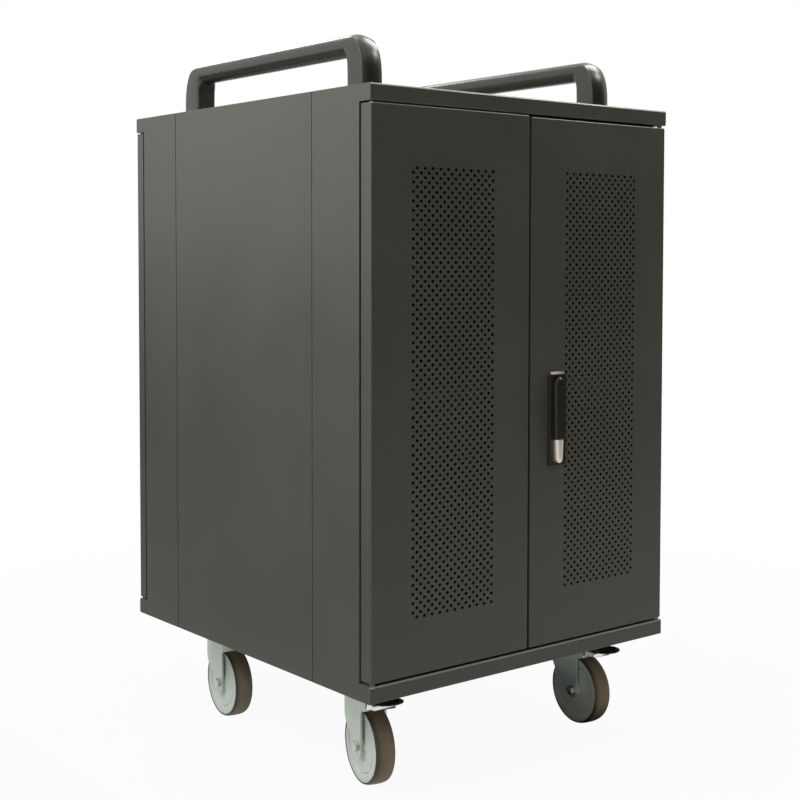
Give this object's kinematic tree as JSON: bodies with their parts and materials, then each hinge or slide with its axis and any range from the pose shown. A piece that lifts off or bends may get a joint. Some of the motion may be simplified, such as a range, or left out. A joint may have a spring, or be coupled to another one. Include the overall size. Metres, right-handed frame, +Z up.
{
  "type": "laptop charging cart",
  "caption": "Lockable sheet-steel charging cart on swivel casters, with perforated front doors, a rear door, side bow handles and racks that stand laptops upright.",
  "frame": {"origin": "centre of the cart's bounds in plan, on the floor under the tyres", "axes": "+Z up, -Y towards the perforated front doors, +X to the right seen from the front"},
  "size_m": [0.6628, 0.7384, 1.195],
  "materials": {
    "cabinet_paint": "satin powder coat, dark olive grey",
    "handle_paint": "satin powder coat, dark olive grey",
    "rack_plastic": "moulded, fine grain",
    "black_plastic": "moulded",
    "lock_black": "semi-gloss black",
    "key_metal": "satin nickel",
    "bright_steel": "zinc plated",
    "fork_zinc": "zinc plated, pale grey-green",
    "wheel_core": "moulded light grey",
    "tyre": "brown-grey elastomer tread",
    "pedal_black": "moulded"
  },
  "bodies": {
    "cabinet": {"top_cap": "cabinet_paint", "base_tray": "cabinet_paint", "front_left_post": "cabinet_paint", "front_right_post": "cabinet_paint", "rear_left_post": "cabinet_paint", "rear_right_post": "cabinet_paint", "left_side_panel": "cabinet_paint", "right_side_panel": "cabinet_paint", "partition": "cabinet_paint", "mid_shelf": "cabinet_paint", "lower_rack": "rack_plastic", "upper_rack": "rack_plastic", "lower_power_strip": "black_plastic", "upper_power_strip": "black_plastic", "power_inlet": "black_plastic", "left_handle": "handle_paint", "right_handle": "handle_paint", "left_door_lower_pin": "bright_steel", "left_door_upper_pin": "bright_steel", "right_door_lower_pin": "bright_steel", "right_door_upper_pin": "bright_steel", "rear_door_lower_pin": "bright_steel", "rear_door_upper_pin": "bright_steel", "front_left_caster_plate": "fork_zinc", "front_right_caster_plate": "fork_zinc", "rear_left_caster_plate": "fork_zinc", "rear_right_caster_plate": "fork_zinc"},
    "left_door": {"left_door": "cabinet_paint"},
    "left_upper_bolt": {"left_door_upper_bolt": "bright_steel"},
    "left_lower_bolt": {"left_door_lower_bolt": "bright_steel"},
    "right_door": {"right_door": "cabinet_paint", "lock_plate": "lock_black", "key_housing": "key_metal"},
    "key_plug": {"key_plug": "key_metal"},
    "lock_spindle": {"lock_spindle": "bright_steel"},
    "lock_lever": {"lock_lever": "lock_black"},
    "upper_rod": {"upper_lock_rod": "bright_steel"},
    "lower_rod": {"lower_lock_rod": "bright_steel"},
    "rear_door": {"rear_door": "cabinet_paint", "rear_lock_barrel": "bright_steel"},
    "rear_lock_cam": {"rear_lock_cam": "bright_steel"},
    "front_left_caster": {"front_left_fork": "fork_zinc", "front_left_axle": "bright_steel"},
    "front_left_wheel": {"front_left_wheel_core": "wheel_core", "front_left_tyre": "tyre"},
    "front_left_pedal": {"front_left_brake_pedal": "pedal_black"},
    "front_right_caster": {"front_right_fork": "fork_zinc", "front_right_axle": "bright_steel"},
    "front_right_wheel": {"front_right_wheel_core": "wheel_core", "front_right_tyre": "tyre"},
    "front_right_pedal": {"front_right_brake_pedal": "pedal_black"},
    "rear_left_caster": {"rear_left_fork": "fork_zinc", "rear_left_axle": "bright_steel"},
    "rear_left_wheel": {"rear_left_wheel_core": "wheel_core", "rear_left_tyre": "tyre"},
    "rear_right_caster": {"rear_right_fork": "fork_zinc", "rear_right_axle": "bright_steel"},
    "rear_right_wheel": {"rear_right_wheel_core": "wheel_core", "rear_right_tyre": "tyre"}
  },
  "joints": [
    {"name": "left_door_hinge", "type": "hinge", "parent": "cabinet", "child": "left_door", "pos_m": [-0.322, -0.34725, 0.636], "axis": [0, 0, -1], "range_deg": [0, 180]},
    {"name": "right_door_hinge", "type": "hinge", "parent": "cabinet", "child": "right_door", "pos_m": [0.322, -0.34725, 0.636], "axis": [0, 0, 1], "range_deg": [0, 180]},
    {"name": "rear_door_hinge", "type": "hinge", "parent": "cabinet", "child": "rear_door", "pos_m": [-0.322, 0.35675, 0.636], "axis": [0, 0, 1], "range_deg": [0, 180]},
    {"name": "left_upper_bolt_slide", "type": "slide", "parent": "left_door", "child": "left_upper_bolt", "axis": [0, 0, 1], "range_m": [0, 0.014]},
    {"name": "left_lower_bolt_slide", "type": "slide", "parent": "left_door", "child": "left_lower_bolt", "axis": [0, 0, -1], "range_m": [0, 0.014]},
    {"name": "handle_turn", "type": "hinge", "parent": "right_door", "child": "lock_spindle", "pos_m": [0.0585, -0.36425, 0.632], "axis": [0, -1, 0], "range_deg": [0, 90]},
    {"name": "handle_lift", "type": "hinge", "parent": "lock_spindle", "child": "lock_lever", "pos_m": [0.0585, -0.36425, 0.632], "axis": [-1, 0, 0], "range_deg": [0, 30]},
    {"name": "upper_rod_slide", "type": "slide", "parent": "right_door", "child": "upper_rod", "axis": [0, 0, 1], "range_m": [0, 0.014]},
    {"name": "lower_rod_slide", "type": "slide", "parent": "right_door", "child": "lower_rod", "axis": [0, 0, -1], "range_m": [0, 0.014]},
    {"name": "key_turn", "type": "hinge", "parent": "right_door", "child": "key_plug", "pos_m": [0.0585, -0.36125, 0.52125], "axis": [0, -1, 0], "range_deg": [0, 90]},
    {"name": "rear_lock_turn", "type": "hinge", "parent": "rear_door", "child": "rear_lock_cam", "pos_m": [0.28, 0.35475, 0.63], "axis": [0, -1, 0], "range_deg": [0, 90]},
    {"name": "front_left_swivel", "type": "hinge", "parent": "cabinet", "child": "front_left_caster", "pos_m": [-0.24, -0.21025, 0.15], "axis": [0, 0, 1], "continuous": true},
    {"name": "front_left_wheel_spin", "type": "hinge", "parent": "front_left_caster", "child": "front_left_wheel", "pos_m": [-0.24816, -0.24736, 0.0625], "axis": [0.9767, -0.2147, 0], "continuous": true},
    {"name": "front_left_brake_press", "type": "hinge", "parent": "front_left_caster", "child": "front_left_pedal", "pos_m": [-0.25417, -0.27471, 0.136], "axis": [0.9767, -0.2147, 0], "range_deg": [0, 8]},
    {"name": "front_right_swivel", "type": "hinge", "parent": "cabinet", "child": "front_right_caster", "pos_m": [0.24, -0.21025, 0.15], "axis": [0, 0, 1], "continuous": true},
    {"name": "front_right_wheel_spin", "type": "hinge", "parent": "front_right_caster", "child": "front_right_wheel", "pos_m": [0.23636, -0.24807, 0.0625], "axis": [0.9954, -0.0958, 0], "continuous": true},
    {"name": "front_right_brake_press", "type": "hinge", "parent": "front_right_caster", "child": "front_right_pedal", "pos_m": [0.23367, -0.27595, 0.136], "axis": [0.9954, -0.0958, 0], "range_deg": [0, 8]},
    {"name": "rear_left_swivel", "type": "hinge", "parent": "cabinet", "child": "rear_left_caster", "pos_m": [-0.24, 0.21975, 0.15], "axis": [0, 0, 1], "continuous": true},
    {"name": "rear_left_wheel_spin", "type": "hinge", "parent": "rear_left_caster", "child": "rear_left_wheel", "pos_m": [-0.24397, 0.18196, 0.0625], "axis": [0.9945, -0.1045, 0], "continuous": true},
    {"name": "rear_right_swivel", "type": "hinge", "parent": "cabinet", "child": "rear_right_caster", "pos_m": [0.24, 0.21975, 0.15], "axis": [0, 0, 1], "continuous": true},
    {"name": "rear_right_wheel_spin", "type": "hinge", "parent": "rear_right_caster", "child": "rear_right_wheel", "pos_m": [0.23406, 0.18222, 0.0625], "axis": [0.9877, -0.1564, 0], "continuous": true}
  ],
  "couplings": [
    {"joint": "upper_rod_slide", "follows": "handle_turn", "m_per_rad": 0.0089127},
    {"joint": "lower_rod_slide", "follows": "handle_turn", "m_per_rad": 0.0089127}
  ]
}
